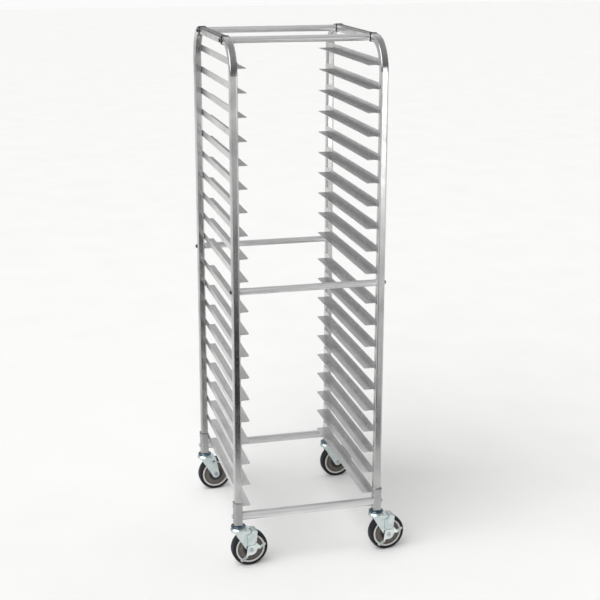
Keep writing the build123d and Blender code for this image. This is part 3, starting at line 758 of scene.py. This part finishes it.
# %% [markdown]
# ## The outline of the wheel centre
# The centre is one moulding: a hub for the bush, a thin web, and a rim under the tread. The
# web flares from the hub, has a shallow ring groove, and meets the rim with a sloping wall so
# that it leaves the mould. The flat face of the rim is paler than the web, so it takes a
# finish of its own, given face by face from how far each one is from the axle.

# %% The outline of the wheel centre
HUB_HALF, HUB_BORE, HUB_RADIUS = 17.0 * MM, 8.1 * MM, 17.0 * MM
HUB_CHAMFER, HUB_FLARE = 1.0 * MM, 5.0 * MM
WEB_HALF, WEB_GROOVE = 10.0 * MM, 0.8 * MM
RING_FROM, RING_TO, RING_SLOPE = 33.0 * MM, 37.0 * MM, 1.0 * MM
RIM_HALF, RIM_INNER, RIM_DRAFT = 15.0 * MM, 45.0 * MM, 2.5 * MM


def centre_outline():
    """Cross-section of the moulded centre: hub, web with a ring groove, and rim."""
    half = [
        (HUB_HALF, HUB_BORE),
        (HUB_HALF, HUB_RADIUS - HUB_CHAMFER),
        (HUB_HALF - HUB_CHAMFER, HUB_RADIUS),
        (WEB_HALF, HUB_RADIUS + HUB_FLARE),
        (WEB_HALF, RING_FROM),
        (WEB_HALF - WEB_GROOVE, RING_FROM + RING_SLOPE),
        (WEB_HALF - WEB_GROOVE, RING_TO - RING_SLOPE),
        (WEB_HALF, RING_TO),
        (WEB_HALF, RIM_INNER - RIM_DRAFT),
        (RIM_HALF, RIM_INNER),
        (RIM_HALF, TYRE_INNER),
    ]
    return half + [(-along, radius) for along, radius in reversed(half)]


def pale_rim(piece, place, axis, finish):
    """Gives the faces of the rim their own paler finish."""
    piece.data.materials.append(finish)
    for face in piece.data.polygons:
        arm = face.center - Vector(place)
        arm -= arm.dot(axis) * axis
        face.material_index = int(arm.length > RIM_INNER)


print("centre outline:", len(centre_outline()), "points")

# %% [markdown]
# ## Four wheels
# Every wheel is the same pair of turned pieces, placed on the axle that its joint states, so
# that it turns true. Each piece rides the body of its wheel and replaces the plain CAD solid.

# %% Four wheels
CORNERS = ("front_left", "front_right", "rear_left", "rear_right")
CRISP_ANGLE = 40

for corner in CORNERS:
    spin = joints["wheel_spin_" + corner]
    place, axis = spin["pos_m"], Vector(spin["axis"]).normalized()
    verts, faces = turned(centre_outline(), place, axis)
    wheel_centre = mesh_piece(
        "wheel_centre_" + corner, verts, faces, finishes["grey_polypropylene"]
    )
    pale_rim(wheel_centre, place, axis, finishes["rim_grey"])
    smooth_by_angle(outward(wheel_centre), CRISP_ANGLE)
    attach(wheel_centre, "wheel_" + corner)
    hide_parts("wheel_core_" + corner)
    verts, faces = turned(tyre_outline(), place, axis)
    tyre = mesh_piece("tread_" + corner, verts, faces, finishes["black_rubber"])
    smooth_by_angle(outward(tyre), CRISP_ANGLE)
    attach(tyre, "wheel_" + corner)
    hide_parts("tyre_" + corner)
print("wheels:", len(CORNERS), "each", round(TREAD_RADIUS / MM * 2), "mm across")

# %% [markdown]
# ## Brake pedals
# The two ends of each brake lever are bent flat for the sole of a shoe, and pressed ribs
# across them stop it from slipping. Each rib is a thin bead, half sunk in the pedal, so that
# it reads as pressed metal. The ribs are laid out in the lever's own directions: along the
# lever, along the axle, and up from the pedal.

# %% Ribs on the pedals
LEVER_TILT = math.radians(32)
PEDAL_TOP = -9.0 * MM  # measured upwards from the axle
PEDAL_RIBS = (33 * MM, 39 * MM, 45 * MM)
RIB_RADIUS = 0.5 * MM
RIB_FROM, RIB_TO = 29.5 * MM, 34.0 * MM
for corner in ("front_left", "front_right"):
    joint = joints["brake_lever_" + corner]
    axle = Vector(joint["axis"]).normalized()
    level = axle.cross(Vector((0, 0, 1))).normalized()
    along = level * math.cos(LEVER_TILT) + Vector((0, 0, 1)) * math.sin(LEVER_TILT)
    up = Vector((0, 0, 1)) * math.cos(LEVER_TILT) - level * math.sin(LEVER_TILT)
    centre = Vector(joint["pos_m"])
    verts, faces = [], []
    for end in (-1, 1):
        for rib in PEDAL_RIBS:
            base = centre + along * (end * rib) + up * PEDAL_TOP
            span = (base - axle * RIB_FROM, base - axle * RIB_TO)
            bead_mesh(verts, faces, span, RIB_RADIUS, RIPPLE)
    mesh_piece(
        "pedal_ribs_" + corner,
        verts,
        faces,
        finishes["zinc_plated_lever"],
        "lever_" + corner,
        smooth=True,
    )
print("pedal ribs:", 2 * len(PEDAL_RIBS), "on each lever")
